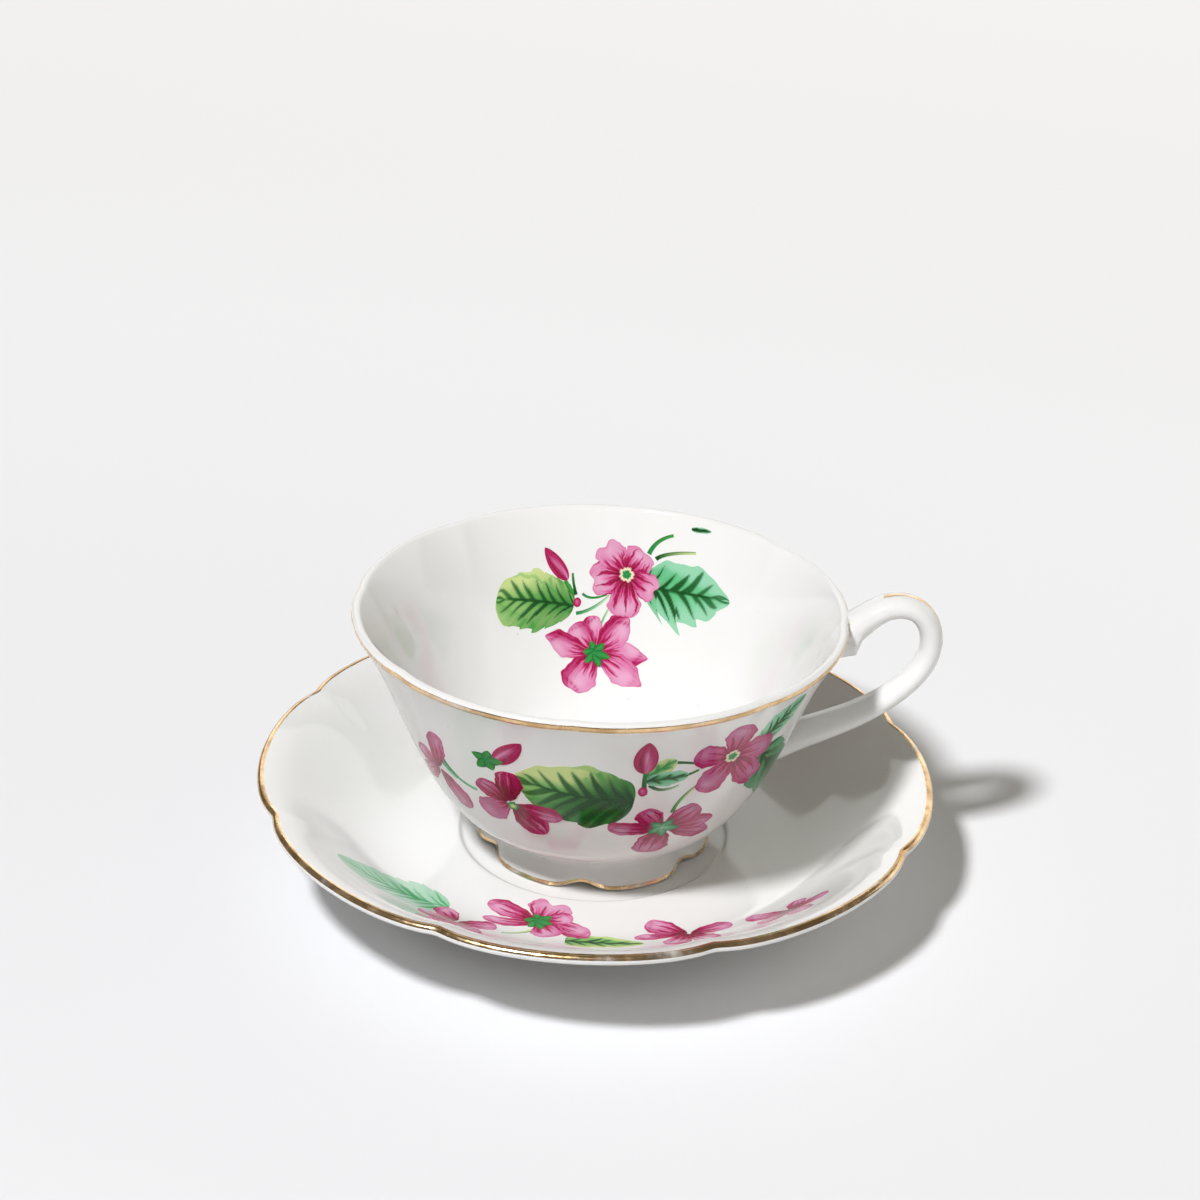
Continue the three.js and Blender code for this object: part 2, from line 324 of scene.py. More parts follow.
def foot_skin():
    return Skin(foot_outer(), 1, FOOT_SCALLOP, foot_weight)


# ---- meshes ----

def new_mesh(name, points, faces, material):
    """An object from points in millimetres."""
    mesh = bpy.data.meshes.new(name)
    mesh.from_pydata((np.asarray(points).reshape(-1, 3) * MM).tolist(), [], faces)
    mesh.materials.append(material)
    item = bpy.data.objects.new(name, mesh)
    bpy.context.scene.collection.objects.link(item)
    return item


def add_piece(name, points, faces, body, material, replaces=None, sharp=None):
    """A piece of the object, riding on a body of the frame."""
    piece = new_mesh(name, points, faces, material)
    mesh = piece.data
    work = bmesh.new()
    work.from_mesh(mesh)
    bmesh.ops.recalc_face_normals(work, faces=work.faces)
    work.to_mesh(mesh)
    work.free()
    mesh.shade_smooth()
    if sharp:
        mesh.set_sharp_from_angle(angle=math.radians(sharp))
    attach(piece, body)
    if replaces:
        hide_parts(replaces)
    return piece


def tube_faces(rings, size, closed=False):
    """Faces between rings of points. closed joins the last ring to the first."""
    faces = []
    for i in range(rings if closed else rings - 1):
        a, b = i * size, (i + 1) % rings * size
        for k in range(size):
            n = (k + 1) % size
            faces.append((a + k, a + n, b + n, b + k))
    return faces


def turned(line, scallop, weight, ring=False):
    """Points and faces of a line turned about Z. A ring's line closes up; others end on the axis."""
    degrees = np.arange(SEGMENTS) * 360 / SEGMENTS
    skin = Skin(line, 1, scallop, weight)
    body = line if ring else line[1:-1]
    count = len(body)
    s = skin.s if ring else skin.s[1:-1]
    points = skin.points(degrees[None, :], s[:, None]).reshape(-1, 3)
    faces = tube_faces(count, SEGMENTS, closed=ring)
    if not ring:
        first, last = count * SEGMENTS, count * SEGMENTS + 1
        points = np.vstack([points, (0, 0, line[0][1]), (0, 0, line[-1][1])])
        end = (count - 1) * SEGMENTS
        for k in range(SEGMENTS):
            n = (k + 1) % SEGMENTS
            faces.append((first, k, n))
            faces.append((last, end + n, end + k))
    return points, faces


def sheet_faces(rows, columns, first, wrap=False):
    """Faces of a thin closed slab: a top grid of points, then the same grid for its bottom."""
    size = rows * columns

    def corners(*places):
        return tuple(first + side * size + (r % rows) * columns + c for side, r, c in places)

    faces = []
    for r in range(rows if wrap else rows - 1):
        for c in range(columns - 1):
            faces.append(corners((0, r, c), (0, r, c + 1), (0, r + 1, c + 1), (0, r + 1, c)))
            faces.append(corners((1, r + 1, c), (1, r + 1, c + 1), (1, r, c + 1), (1, r, c)))
        for c in (0, columns - 1):
            faces.append(corners((0, r, c), (0, r + 1, c), (1, r + 1, c), (1, r, c)))
    if not wrap:
        for c in range(columns - 1):
            for r in (0, rows - 1):
                faces.append(corners((0, r, c), (0, r, c + 1), (1, r, c + 1), (1, r, c)))
    return faces


# ---- node materials ----

def to_linear(value):
    """Linear light from screen levels of 0 to 1."""
    value = np.clip(value, 0, 1)
    return np.where(value <= 0.04045, value / 12.92, ((value + 0.055) / 1.055) ** 2.4)


class Nodes:
    """Short calls for building the node tree of a material or of the world."""

    def __init__(self, owner):
        self.owner = owner
        owner.use_nodes = True
        self.tree = owner.node_tree
        self.tree.nodes.clear()
        self.coordinates = self.add("ShaderNodeTexCoord").outputs

    def add(self, kind, values=None, **settings):
        node = self.tree.nodes.new(kind)
        for key, value in settings.items():
            setattr(node, key, value)
        for key, value in (values or {}).items():
            if isinstance(value, bpy.types.NodeSocket):
                self.tree.links.new(value, node.inputs[key])
            else:
                node.inputs[key].default_value = value
        return node

    def noise(self, scale, detail=2.0, roughness=0.5):
        values = {"Scale": scale, "Detail": detail, "Roughness": roughness}
        values["Vector"] = self.coordinates["Object"]
        return self.add("ShaderNodeTexNoise", values).outputs["Fac"]

    def remap(self, value, low, high, to_low, to_high):
        values = {"Value": value, "From Min": low, "From Max": high, "To Min": to_low, "To Max": to_high}
        node = self.add("ShaderNodeMapRange", values, interpolation_type="SMOOTHSTEP")
        return node.outputs["Result"]

    def mix(self, share, first, second):
        """A colour mix. Its two colours are sockets 6 and 7, and its result is socket 2."""
        node = self.add("ShaderNodeMix", data_type="RGBA")
        for socket, value in ((0, share), (6, first), (7, second)):
            if isinstance(value, bpy.types.NodeSocket):
                self.tree.links.new(value, node.inputs[socket])
            else:
                node.inputs[socket].default_value = value if socket == 0 else (*value, 1)
        return node.outputs[2]

    def bump(self, height, strength, distance, over=None):
        values = {"Height": height, "Strength": strength, "Distance": distance}
        if over is not None:
            values["Normal"] = over
        return self.add("ShaderNodeBump", values).outputs["Normal"]

    def output(self, shader, kind="ShaderNodeOutputMaterial"):
        self.add(kind, {"Surface": shader})
        return self.owner


def material_nodes(name):
    return Nodes(bpy.data.materials.new(name))


PORCELAIN_WHITE = (0.775, 0.775, 0.767)
PORCELAIN_CREAM = (0.76, 0.757, 0.74)
IRON_SPECK = (0.25, 0.18, 0.11)
PRINT_SHINE = 0.3  # the enamel print mirrors less than bare glaze


def glaze(nodes, colour, shine=0.5):
    """Glassy glaze over any colour: faint ripples from firing and a slightly uneven polish."""
    ripple = nodes.bump(nodes.noise(55, 1.0), 0.10, 0.0006)
    orange_peel = nodes.bump(nodes.noise(620, 1.0), 0.05, 0.00006, ripple)
    shader = nodes.add(
        "ShaderNodeBsdfPrincipled",
        {
            "Base Color": colour,
            "Roughness": nodes.remap(nodes.noise(90, 3.0), 0.35, 0.65, 0.05, 0.11),
            "IOR": 1.5,
            "Specular IOR Level": shine,
            "Normal": orange_peel,
        },
    )
    return shader.outputs["BSDF"]


def porcelain_colour(nodes):
    """White with a slow drift towards cream and a few tiny iron specks."""
    drift = nodes.remap(nodes.noise(22, 2.0), 0.35, 0.65, 0, 1)
    body = nodes.mix(drift, PORCELAIN_WHITE, PORCELAIN_CREAM)
    specks = nodes.remap(nodes.noise(900, 0.0), 0.90, 0.93, 0, 0.5)
    return nodes.mix(specks, body, IRON_SPECK)


def porcelain_material():
    nodes = material_nodes("glazed_porcelain")
    return nodes.output(glaze(nodes, porcelain_colour(nodes)))


def print_material():
    """Enamel print: the painted colour with the fine grain of a transfer, with a softer shine."""
    nodes = material_nodes("enamel_print")
    paint = nodes.add("ShaderNodeAttribute", attribute_name="paint").outputs["Color"]
    grain = nodes.remap(nodes.noise(2600, 2.0), 0.3, 0.7, 0, 0.025)
    return nodes.output(glaze(nodes, nodes.mix(grain, paint, PORCELAIN_WHITE), PRINT_SHINE))


GOLD_BRIGHT = (0.92, 0.66, 0.38)
GOLD_DEEP = (0.60, 0.39, 0.19)


def gold_material():
    """Burnished gold that is rubbed thin in places, where the porcelain shows through."""
    nodes = material_nodes("burnished_gold")
    tone = nodes.remap(nodes.noise(170, 3.0), 0.35, 0.65, 0, 1)
    brush = nodes.bump(nodes.noise(1500, 2.0), 0.25, 0.00004)
    metal = nodes.add(
        "ShaderNodeBsdfPrincipled",
        {
            "Base Color": nodes.mix(tone, GOLD_BRIGHT, GOLD_DEEP),
            "Metallic": 1.0,
            "Roughness": nodes.remap(nodes.noise(400, 2.0), 0.3, 0.7, 0.12, 0.30),
            "Normal": brush,
        },
    ).outputs["BSDF"]
    rubbed = nodes.remap(nodes.noise(45, 4.0, 0.7), 0.53, 0.70, 0, 0.6)
    bare = glaze(nodes, porcelain_colour(nodes))
    mixed = nodes.add("ShaderNodeMixShader", {"Fac": rubbed})
    nodes.tree.links.new(metal, mixed.inputs[1])
    nodes.tree.links.new(bare, mixed.inputs[2])
    return nodes.output(mixed.outputs[0])


PORCELAIN = porcelain_material()
PRINT = print_material()
GOLD = gold_material()


# ---- the porcelain pieces ----

def make_saucer():
    top = saucer_top()
    under = saucer_under(top)
    lip = half_round(under[0], top[-1])
    seat = np.linspace((0, SEAT_HEIGHT), (PRINT_ORIGIN_RADIUS, SEAT_HEIGHT), 14)
    line = joined(under[::-1], lip, top[::-1], seat[::-1])
    points, faces = turned(line, SAUCER_SCALLOP, saucer_weight)
    add_piece("saucer_body", points, faces, "saucer", PORCELAIN, "saucer_dish")


def make_bowl():
    underside = np.linspace((0, BOWL_BOTTOM), (HIP_RADIUS, BOWL_BOTTOM), 12)
    edge = BOWL_SKIN.line[-1]
    inside = sweep((0, edge[1] - FLOOR_DISH), 0, edge, 1.5, 14)
    line = joined(underside, BOWL_SKIN.line, inside[::-1])
    points, faces = turned(line, CUP_SCALLOP, bowl_weight)
    add_piece("cup_bowl_body", points, faces, "cup", PORCELAIN, "cup_bowl")


def make_foot():
    outer = foot_outer()
    inside = FOOT_TOP_RADIUS - FOOT_WALL
    flat_out = FOOT_RADIUS - FOOT_EDGE
    flat_in = flat_out - FOOT_FLAT
    inner = softened(
        [
            (HIP_RADIUS, BOWL_BOTTOM + 0.1),
            (inside - 0.4, BOWL_BOTTOM + 0.1),
            (inside + 0.6, (BOWL_BOTTOM + FOOT_BOTTOM) / 2),
            (flat_in - 0.3, FOOT_BOTTOM),
            (flat_out, FOOT_BOTTOM),
            (FOOT_RADIUS, FOOT_BOTTOM + FOOT_EDGE_HEIGHT),
        ],
        0.5,
    )
    line = joined(inner, outer)
    points, faces = turned(line, FOOT_SCALLOP, foot_weight, ring=True)
    add_piece("cup_foot_ring", points, faces, "cup", PORCELAIN, "cup_foot")


# ---- handle: a strap in the XZ plane ----

HANDLE_WIDTH = 6.8
HANDLE_THICKNESS = 4.6
HANDLE_STEPS = 110
HANDLE_SECTION = 40
HANDLE_SINK = 0.5  # how deep its ends sit in the bowl's wall
LEDGE_END = 52.4  # the root is squared off underneath, out to here
LEDGE_BOTTOM = 44.7  # above the foot's bottom


def handle_path():
    """Middle of the strap as (x, height above the foot's bottom), evenly spaced."""
    parts = [
        bezier((46.5, 47.2), (51.5, 48.6), (54.5, 55.3), (60.4, 55.3), 60),  # root up to the crown
        bezier((60.4, 55.3), (64.6, 55.3), (67.2, 51.8), (67.2, 46.8), 40),  # over the outer curve
        bezier((67.2, 46.8), (67.2, 40.0), (58.5, 32.6), (50.5, 28.9), 60),  # down under the fingers
        bezier((50.5, 28.9), (45.8, 26.7), (41.0, 24.6), (36.0, 22.6), 40),  # tail into the belly
    ]
    path = joined(*parts) + np.array([0, FOOT_BOTTOM])
    s = lengths(path)
    even = np.linspace(0, s[-1], HANDLE_STEPS + 1)
    return np.column_stack([np.interp(even, s, path[:, 0]), np.interp(even, s, path[:, 1])])


def handle_size(t):
    """Width and thickness: both swell where the strap meets the bowl."""
    root = bell(t, 0.16)
    tail = bell(1 - t, 0.22)
    close = bell(t, 0.035) + bell(1 - t, 0.05)
    width = HANDLE_WIDTH + 2.0 * root + 2.0 * tail + 1.4 * close
    thickness = HANDLE_THICKNESS + 2.2 * root + 1.4 * tail + 0.8 * close
    return width, thickness


def wall_reach(y, z):
    """How far out in X the bowl's wall is at a width and height, less the sink of the joint."""
    outer = bowl_outer()
    radius = np.interp(z, outer[:, 1], outer[:, 0])
    return np.sqrt(np.maximum(radius**2 - y**2, 0)) - HANDLE_SINK


def handle_points(t, turn, grow=0.0):
    """Points of the strap's surface at parts of its length and turns round its section."""
    path = handle_path()
    share = np.linspace(0, 1, len(path))
    along = directions(path)

    def pick(values):
        return np.interp(t, share, values)

    width, thickness = handle_size(t)
    up = np.sin(turn) * (thickness / 2 + grow)
    x = pick(path[:, 0]) - up * pick(along[:, 1])
    z = pick(path[:, 1]) + up * pick(along[:, 0])
    y = np.cos(turn) * (width / 2 + grow) + 0 * x
    below = np.clip(-np.sin(turn), 0, 1) ** 0.6
    squared = smoothstep(LEDGE_END - x, -0.5, 0.6) * below * (t < 0.5)
    z = z + (FOOT_BOTTOM + LEDGE_BOTTOM - z) * squared
    return np.stack([x, y, z], axis=-1)


def make_handle():
    t = np.linspace(0, 1, HANDLE_STEPS + 1)[:, None]
    turn = np.linspace(0, 2 * math.pi, HANDLE_SECTION, endpoint=False)[None, :]
    points = handle_points(t, turn)
    reach = wall_reach(points[..., 1], points[..., 2])
    points[..., 0] = np.maximum(points[..., 0], reach)
    for end in (0, -1):
        points[end, :, 0] = reach[end]
    rings, size = points.shape[:2]
    faces = tube_faces(rings, size)
    faces.append(tuple(range(size)))
    faces.append(tuple((rings - 1) * size + k for k in range(size)))
    add_piece("cup_handle_strap", points, faces, "cup", PORCELAIN, "cup_handle", sharp=60)


# ---- gold lines ----

GOLD_LIFT = 0.04
GOLD_SINK = 0.05
GOLD_COLUMNS = 12
SAUCER_BAND = (0.12, 0.47)  # length before the lip's half round, and part of the round it covers
CUP_BAND = (0.3, 0.3)
FOOT_BAND = 0.75
STROKE_START = 0.195  # the stroke on the handle, in parts of the strap's length
STROKE_END = 0.61
STROKE_HALF_WIDTH = 0.55


def wander(degrees, seed, amount):
    """A hand-painted edge: a slow drift that closes on itself round the piece."""
    random = np.random.RandomState(seed)
    total = 0
    for waves in (3, 7, 13, 29, 53):
        total = total + np.sin(np.radians(degrees) * waves + random.uniform(0, 6.28)) / waves**0.4
    return amount * total / 2


def gold_band(name, skin, start, end, body, replaces, seed, wobble):
    """A thin gold band round a turned skin between two lengths along its line."""
    degrees = np.arange(0, 360, 0.5)[:, None]
    across = np.linspace(0, 1, GOLD_COLUMNS)[None, :]
    low = start + wander(degrees, seed, wobble)
    high = end + wander(degrees, seed + 1, wobble)
    s = low + (high - low) * across
    points = [skin.points(degrees, s, GOLD_LIFT), skin.points(degrees, s, -GOLD_SINK)]
    faces = sheet_faces(len(degrees), GOLD_COLUMNS, 0, wrap=True)
    add_piece(name, points, faces, body, GOLD, replaces, sharp=50)


def make_gold():
    """A band on the saucer's lip, on the cup's lip and on the cup's foot."""
    lip = math.pi * LIP_THICKNESS / 2
    edge = SAUCER_SKIN.s[-3] - lip
    start, end = edge - SAUCER_BAND[0], edge + SAUCER_BAND[1] * lip
    gold_band("saucer_gold_rim", SAUCER_SKIN, start, end, "saucer", "saucer_rim_gilding", 3, 0.06)
    start, end = OUTER_LENGTH - CUP_BAND[0], OUTER_LENGTH + CUP_BAND[1] * lip
    gold_band("cup_gold_rim", BOWL_SKIN, start, end, "cup", "cup_rim_gilding", 11, 0.07)
    gold_band("cup_gold_foot", foot_skin(), 0.0, FOOT_BAND, "cup", "cup_foot_gilding", 23, 0.05)


def make_handle_gold():
    """A brush stroke along the strap's spine, square where it starts and fading to a thin line."""
    t = np.linspace(STROKE_START, STROKE_END, 100)[:, None]
    across = np.linspace(-1, 1, 9)[None, :]
    progress = (t - t[0]) / (t[-1] - t[0])
    half = STROKE_HALF_WIDTH * (1 - 0.6 * progress**2) * smoothstep(1.02 - progress, 0, 0.15)
    half = half * (1 + 0.08 * np.sin(progress * 37) + 0.05 * np.sin(progress * 91))
    turn = math.pi / 2 - half * across / (HANDLE_WIDTH / 2)
    points = [handle_points(t, turn, GOLD_LIFT), handle_points(t, turn, -GOLD_SINK)]
    faces = sheet_faces(*turn.shape, 0)
    add_piece("cup_gold_stroke", points, faces, "cup", GOLD, "cup_handle_gilding", sharp=50)


# ---- print: patches of paint in a flat plane, X to the right and Y up ----

PRINT_LIFT = 0.03
PRINT_STEP = 0.004  # each layer of paint lies this much above the one below
PRINT_SINK = 0.05
PRINT_CELL = 0.23
FLOWER_LAYER = 8  # flowers lie over leaves and stems
HEART_LAYER = FLOWER_LAYER + 12  # what lies over the petals in a flower's middle
CALYX_LAYER = FLOWER_LAYER + 8


def screen(*levels):
    """A colour from screen levels of 0 to 255."""
    return np.array(levels) / 255


PINK_LIGHT = screen(224, 190, 206)
PINK_PALE = screen(208, 146, 178)
# deeper pink for the flowers on the cup's outside: more saturated like the print there, and darker as
# painted shade of the shaded outer wall
PINK_SHADED_ROSE = screen(176, 94, 134)
PINK_MID = screen(198, 62, 124)
PINK_DEEP = screen(150, 0, 62)
PINK_DARK = screen(98, 0, 28)
CREAM = screen(222, 214, 180)
GREEN_DARK = screen(0, 62, 12)
GREEN_MID = screen(54, 144, 54)
GREEN_YELLOW = screen(196, 212, 140)
GREEN_MINT = screen(140, 199, 164)
GREEN_LEAF = screen(34, 132, 66)
GREEN_JADE = screen(66, 165, 100)
GREEN_PALE = screen(206, 226, 196)
GREEN_FADED = screen(172, 208, 184)


def mix(first, second, share):
    """Colour between two, for a whole grid of points."""
    share = np.clip(share, 0, 1)[..., None]
    return np.asarray(first) * (1 - share) + np.asarray(second) * share


def strands(across, seed, density):
    """0..1 brush strands that vary across a shape."""
    random = np.random.RandomState(seed)
    total = np.zeros_like(across)
    for k in (1, 1.9, 3.1):
        total += np.sin(across * density * k + random.uniform(0, 6.28)) / k**0.7
    return np.clip(0.5 + total / 3.6, 0, 1)


def shape(
    base, angle, length, width, paint, layer,
    belly=0.6, blunt=0.5, bend=0.0, notch=0.0, teeth=(0, 0.0, 0.0), skew=0.0, ruffle=None, start=0.0,
):
    """A patch like a petal or a leaf. belly is where it is widest and blunt how round its tip is.

    bend moves the tip sideways, and notch cuts the middle of the tip back by a part of the length,
    or draws it out where negative. teeth is how many teeth each edge has and their depth on the
    left and the right; they lean to the tip. skew makes the right side fuller near the base, and
    ruffle is where the waves of an uneven margin start.
    """
    rows = max(14, round(length / PRINT_CELL))
    columns = max(9, round(width / PRINT_CELL)) | 1
    t = (1 - np.cos(np.linspace(0.09, math.pi - 0.09, rows)))[:, None] / 2
    u = np.linspace(-1, 1, columns)[None, :]
    root = blunt * belly / (1 - belly)
    half = width / 2 * t**root * (1 - t) ** blunt / (belly**root * (1 - belly) ** blunt)
    if ruffle is not None:
        half = half * (1 + 0.06 * np.sin(13 * t + ruffle + u) + 0.035 * np.sin(29 * t + 2 * ruffle - u))
    t, u = np.broadcast_arrays(t, u)
    depth = np.where(u > 0, teeth[1], teeth[2])
    tooth = (t * teeth[0] + 0.35) % 1
    cut = depth * (1.2 - t)
    half = half * (1 - cut * (1 - tooth)) * (1 + skew * (1 - t) * (u < 0))
    across = half * u
    along = start + (length - start) * t
    along = along - notch * length * bell(across, 0.17 * width) * t**5
    colour = paint(t, u, along, half)
    along = along + 0.6 * cut * tooth * np.abs(across) * u**4
    across = across + bend * t**2
    turn = math.radians(angle)
    x = base[0] + along * math.cos(turn) - across * math.sin(turn)
    y = base[1] + along * math.sin(turn) + across * math.cos(turn)
    return {"x": x, "y": y, "colour": colour, "layer": layer}


def petal_paint(length, seed, deep, fold, pale):
    """Pale towards the tip, deep at the base in strands, with a darker outline and one shaded side."""

    def paint(t, u, along, half):
        fan = strands(u + 0.1 * np.sin(3 * t), seed, 10.0) ** 1.3
        fine = strands(u + 0.08 * t, seed + 50, 17.0)
        reach = deep * length * (0.55 + 1.6 * fan)
        side = smoothstep(fold * u, 0.0, 0.9)
        wash = 0.4 * strands(u + 1.5 * t, seed + 90, 2.5) - 0.06
        blush = 0.9 * smoothstep(0.25 + deep - t + 0.6 * (fine - 0.5), 0, 0.4)
        colour = mix(pale, PINK_MID, np.maximum(wash, blush) + 0.7 * side)
        glow = bell(t - 0.76, 0.16) * bell(u + 0.35 * fold, 0.5)
        colour = mix(colour, 0.5 * (pale + PINK_LIGHT), 0.7 * glow)
        curl = bell(t - 0.88 + 0.15 * u * fold, 0.045) * abs(fold)
        colour = mix(colour, PINK_DEEP, 1.3 * side * (0.35 + 0.65 * fine) + 0.75 * curl * fine)
        colour = mix(colour, PINK_DEEP, 0.92 * smoothstep(reach - along, -0.35, 0.8))
        colour = mix(colour, PINK_DARK, smoothstep(0.5 * reach - along, -0.4, 1.2) * 0.8)
        edge = np.minimum((1 - np.abs(u)) * half, (1 - t) * length * 0.6)
        return mix(colour, PINK_MID, (0.2 + 0.7 * fine**2) * smoothstep(0.34 - edge, 0, 0.26))

    return paint


def petal(centre, angle, length, width, seed, layer, deep=0.4, fold=0.0, pale=PINK_PALE, **form):
    form = {"belly": 0.64, "blunt": 0.42, "start": 0.4, "ruffle": seed, **form}
    paint = petal_paint(length, seed, deep, fold, pale)
    return shape(centre, angle, length, width, paint, layer, **form)


def flower(centre, seed, petals, **common):
    """Petals round a centre, each a layer above the last: angle, length, width and maybe a form."""
    return [
        petal(centre, angle, length, width, seed + i, FLOWER_LAYER + i, **{**common, **dict(*form)})
        for i, (angle, length, width, *form) in enumerate(petals)
    ]


def aim(start, end):
    """Angle and length of the line from start to end."""
    return math.degrees(math.atan2(end[1] - start[1], end[0] - start[0])), math.dist(start, end)


def bud(base, tip, width, seed, layer, fold=0.9):
    """A closed bud: slim and deep, with one pale stripe along it."""

    def paint(t, u, along, half):
        fine = strands(u + 0.2 * t, seed, 9.0)
        stripe = bell(fold * u + 0.35 - 0.5 * t, 0.3) * smoothstep(1 - t, 0.1, 0.5)
        colour = mix(PINK_DEEP, PINK_MID, 0.55 * fine)
        colour = mix(colour, PINK_PALE, 0.95 * stripe * (0.6 + 0.4 * fine))
        return mix(colour, PINK_DARK, 0.6 * bell(fold * u - 0.35, 0.16) * (1 - t))

    return shape(base, *aim(base, tip), width, paint, layer, belly=0.42, blunt=0.75, bend=-0.4 * fold)


def leaf_paint(light, middle, dark, veins, seed, shade_side=0.0, pale_tip=0.0, heavy=0.0):
    """Light margins, a dark midrib, and uneven dark strokes that leave it towards the margins."""
    random = np.random.RandomState(seed)
    shift, reach, thick = (random.uniform(low, 1, 60) for low in (0, 0.6, 0.5))

    def paint(t, u, along, half):
        side = np.abs(u)
        slant = (t - 0.36 * side + 0.12 * side**2) * veins + 10 + 0.4 * (u > 0)
        number = slant.astype(int) + 20 * (u > 0)
        away = np.abs(slant % 1 - 0.35 - 0.3 * shift[number])
        taper = np.clip(1 - side / reach[number], 0, 1)
        stroke = smoothstep(0.46 * thick[number] * taper**0.6 - away, -0.02, 0.12)
        gap = smoothstep(away, 0.2, 0.45) * np.clip(side * 1.4, 0, 1)
        wash = strands(u + t, seed, 3.0) - 0.5
        body = 0.95 - 0.95 * side - 0.3 * t + shade_side * u + 0.35 * wash
        colour = mix(light, middle, body)
        colour = mix(colour, light, 0.5 * gap + pale_tip * smoothstep(t, 0.45, 0.95) * (1 - 0.5 * side))
        shadow = heavy * smoothstep(0.7 - t + shade_side * u, -0.1, 0.5)
        colour = mix(colour, dark, shadow + 0.3 * np.clip(0.35 - t, 0, 1))
        colour = mix(colour, middle, 0.5 * gap * (shadow > 0.1) + 0.25 * (wash > 0.2))
        colour = mix(colour, dark, 0.9 * stroke * (1.2 - 0.6 * t))
        rib = smoothstep(0.45 - side * half, 0, 0.3) * smoothstep(0.95 - t, 0, 0.25)
        return mix(colour, dark, 0.85 * rib)

    return paint


def blade_paint(start_colour, end_colour):
    """A slim green blade, shading along its length, with dark margins."""

    def paint(t, u, along, half):
        colour = mix(start_colour, end_colour, t)
        return mix(colour, GREEN_DARK, 0.6 * np.abs(u) ** 2)

    return paint


def stem(points, width, layer, colours=(GREEN_LEAF, GREEN_MID)):
    """A tapering stroke of even curvature through its points."""
    points = np.asarray(points, float)
    knots = np.linspace(0, 1, len(points))
    order = len(points) - 1
    t = np.linspace(0, 1, max(12, round(lengths(points)[-1] / 0.35)))
    x = np.polyval(np.polyfit(knots, points[:, 0], order), t)
    y = np.polyval(np.polyfit(knots, points[:, 1], order), t)
    along = directions(np.column_stack([x, y]))
    u = np.linspace(-1, 1, 7)[None, :]
    half = width / 2 * (1 - 0.35 * t)[:, None]
    t_grid, u_grid = np.broadcast_arrays(t[:, None], u)
    colour = mix(colours[0], colours[1], t_grid)
    return {
        "x": x[:, None] - along[:, 1][:, None] * half * u,
        "y": y[:, None] + along[:, 0][:, None] * half * u,
        "colour": mix(colour, GREEN_DARK, 0.5 * np.clip(u_grid, 0, 1)),
        "layer": layer,
    }


def disc(centre, radius, layer, paint, ragged=0.0, seed=0, tall=1.0):
    """A round patch with an uneven edge; its grid runs from the middle out."""
    k = np.linspace(0.03, 1, max(6, round(radius / 0.15)))[:, None]
    turn = np.linspace(0, 2 * math.pi, 49)[None, :]
    random = np.random.RandomState(seed)
    wave = sum(np.sin(turn * n + random.uniform(0, 6.28)) for n in (5, 8, 13)) / 3
    reach = radius * k * (1 + ragged * wave)
    return {
        "x": centre[0] + reach * np.cos(turn),
        "y": centre[1] + reach * np.sin(turn) * tall,
        "colour": paint(k + 0 * turn, turn + 0 * k),
        "layer": layer,
    }


def open_eye(centre, layer, radius=1.7):
    """The heart of an open flower: a ragged cream ring round a green button."""

    def paint(k, turn):
        colour = mix(GREEN_LEAF, CREAM, smoothstep(k, 0.50, 0.62))
        return mix(colour, PINK_DEEP, 0.8 * smoothstep(k, 0.84, 1.0))

    return disc(centre, radius, layer, paint, ragged=0.22, seed=5)


def star(centre, tips, width, layer, colours=(GREEN_LEAF, GREEN_MID)):
    """A green calyx: a slim blade towards each tip."""
    paint = blade_paint(*colours)
    return [
        shape(centre, *aim(centre, tip), width, paint, layer + i, belly=0.35, blunt=0.8)
        for i, tip in enumerate(tips)
    ]


def leaf(base, angle, length, width, layer, colours, veins, seed, look=None, **form):
    form = {"belly": 0.42, "blunt": 0.55, "teeth": (11, 0.10, 0.10), "ruffle": seed, **form}
    paint = leaf_paint(*colours, veins, seed, **(look or {}))
    return shape(base, angle, length, width, paint, layer, **form)


YELLOW_LEAF = (GREEN_YELLOW, GREEN_MID, GREEN_DARK)
MINT_LEAF = (GREEN_MINT, GREEN_JADE, GREEN_DARK)
YOUNG_LEAF = (GREEN_YELLOW, GREEN_MID, GREEN_LEAF)
DARK_LEAF = (GREEN_MINT, GREEN_LEAF, GREEN_DARK)
FADED_LEAF = (GREEN_FADED, GREEN_MINT, GREEN_JADE)


# ---- the three sprays ----

def nodding_flower(centre, seed):
    """The flower seen from behind: seven slim petals round a green calyx."""
    petals = (
        (97, 8.2, 4.6, dict(fold=1)),
        (130, 8.0, 5.4, dict(fold=-0.6)),
        (172, 10.6, 5.4, dict(fold=-1, bend=-2.6, notch=-0.10, blunt=0.6)),
        (238, 9.6, 7.8, dict(fold=-0.7, notch=0.03)),
        (4, 10.6, 5.4, dict(fold=-0.8, bend=-1.0, notch=-0.12, blunt=0.6)),
        (-31, 11.0, 6.4, dict(fold=0.3, notch=-0.13, blunt=0.5)),
        (43, 10.0, 6.4, dict(fold=1, bend=0.9, notch=-0.10, blunt=0.5)),
    )
    tips = ((-0.9, 2.6), (2.1, 2.1), (-2.6, 0.3), (-2.0, -2.3), (1.3, -3.2), (3.5, -1.0))
    places = [(centre[0] + x, centre[1] + y) for x, y in tips]
    return flower(centre, seed, petals, deep=0.3), star(centre, places, 1.9, CALYX_LAYER)


